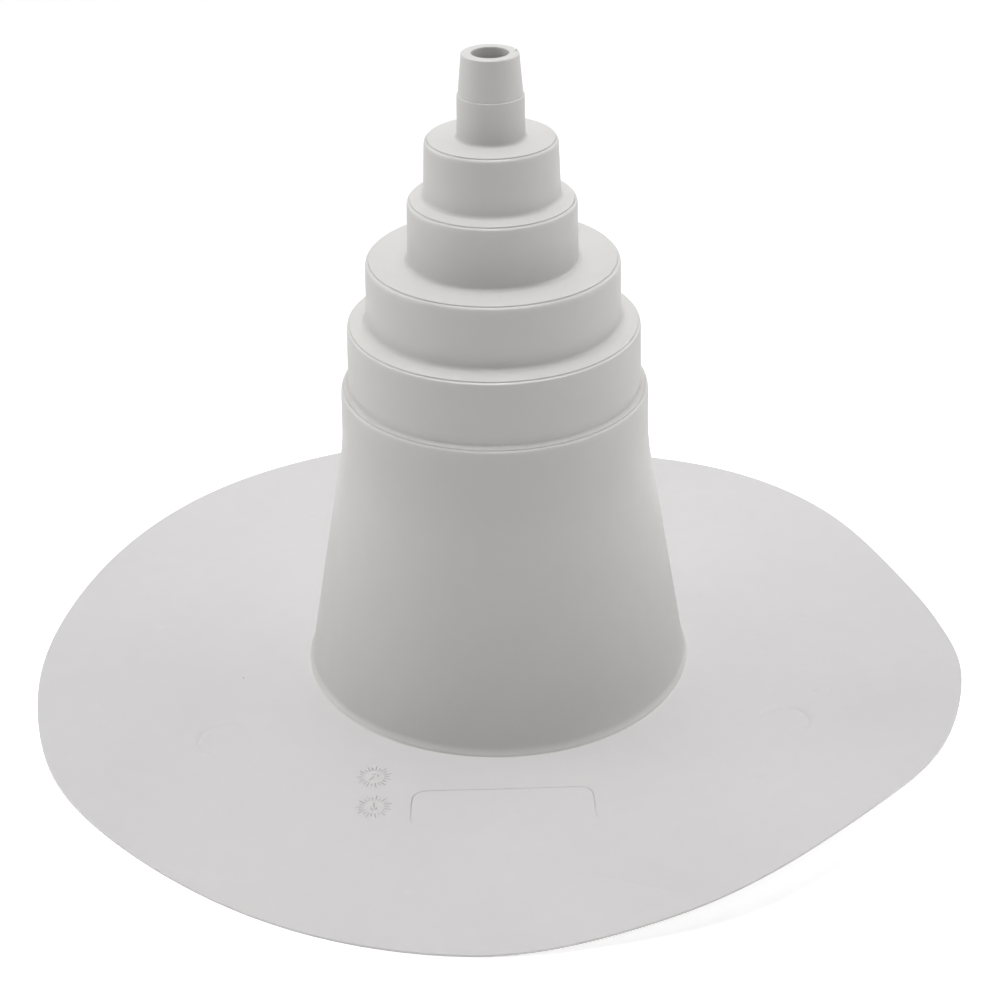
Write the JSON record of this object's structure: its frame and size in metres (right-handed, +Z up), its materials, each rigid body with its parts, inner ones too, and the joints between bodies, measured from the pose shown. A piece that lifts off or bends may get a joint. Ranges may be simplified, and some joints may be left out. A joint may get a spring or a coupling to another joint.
{
  "type": "stepped pipe flashing",
  "caption": "Soft stepped pipe flashing for a membrane roof: a round weld flange, a cone and cylindrical steps that are cut off to fit the pipe.",
  "frame": {"origin": "centre of the flange's underside, where the boot stands on the roof", "axes": "+Z up along the cone's axis, towards the nozzle; -Y towards the side that carries the moulded marks"},
  "size_m": [0.3072, 0.3072, 0.2062],
  "materials": {
    "flange_plastic": "light grey soft PVC sheet, satin, faintly mottled, with fine scuffs and specks",
    "sleeve_plastic": "light grey soft PVC moulding, satin"
  },
  "bodies": {
    "root": {"flange_sheet": "flange_plastic", "cone_skirt": "sleeve_plastic", "collar_band": "sleeve_plastic", "ring_90": "sleeve_plastic", "ring_75": "sleeve_plastic", "ring_50": "sleeve_plastic", "ring_40": "sleeve_plastic", "nozzle_sleeve": "sleeve_plastic", "nozzle_tip": "sleeve_plastic"}
  },
  "joints": []
}
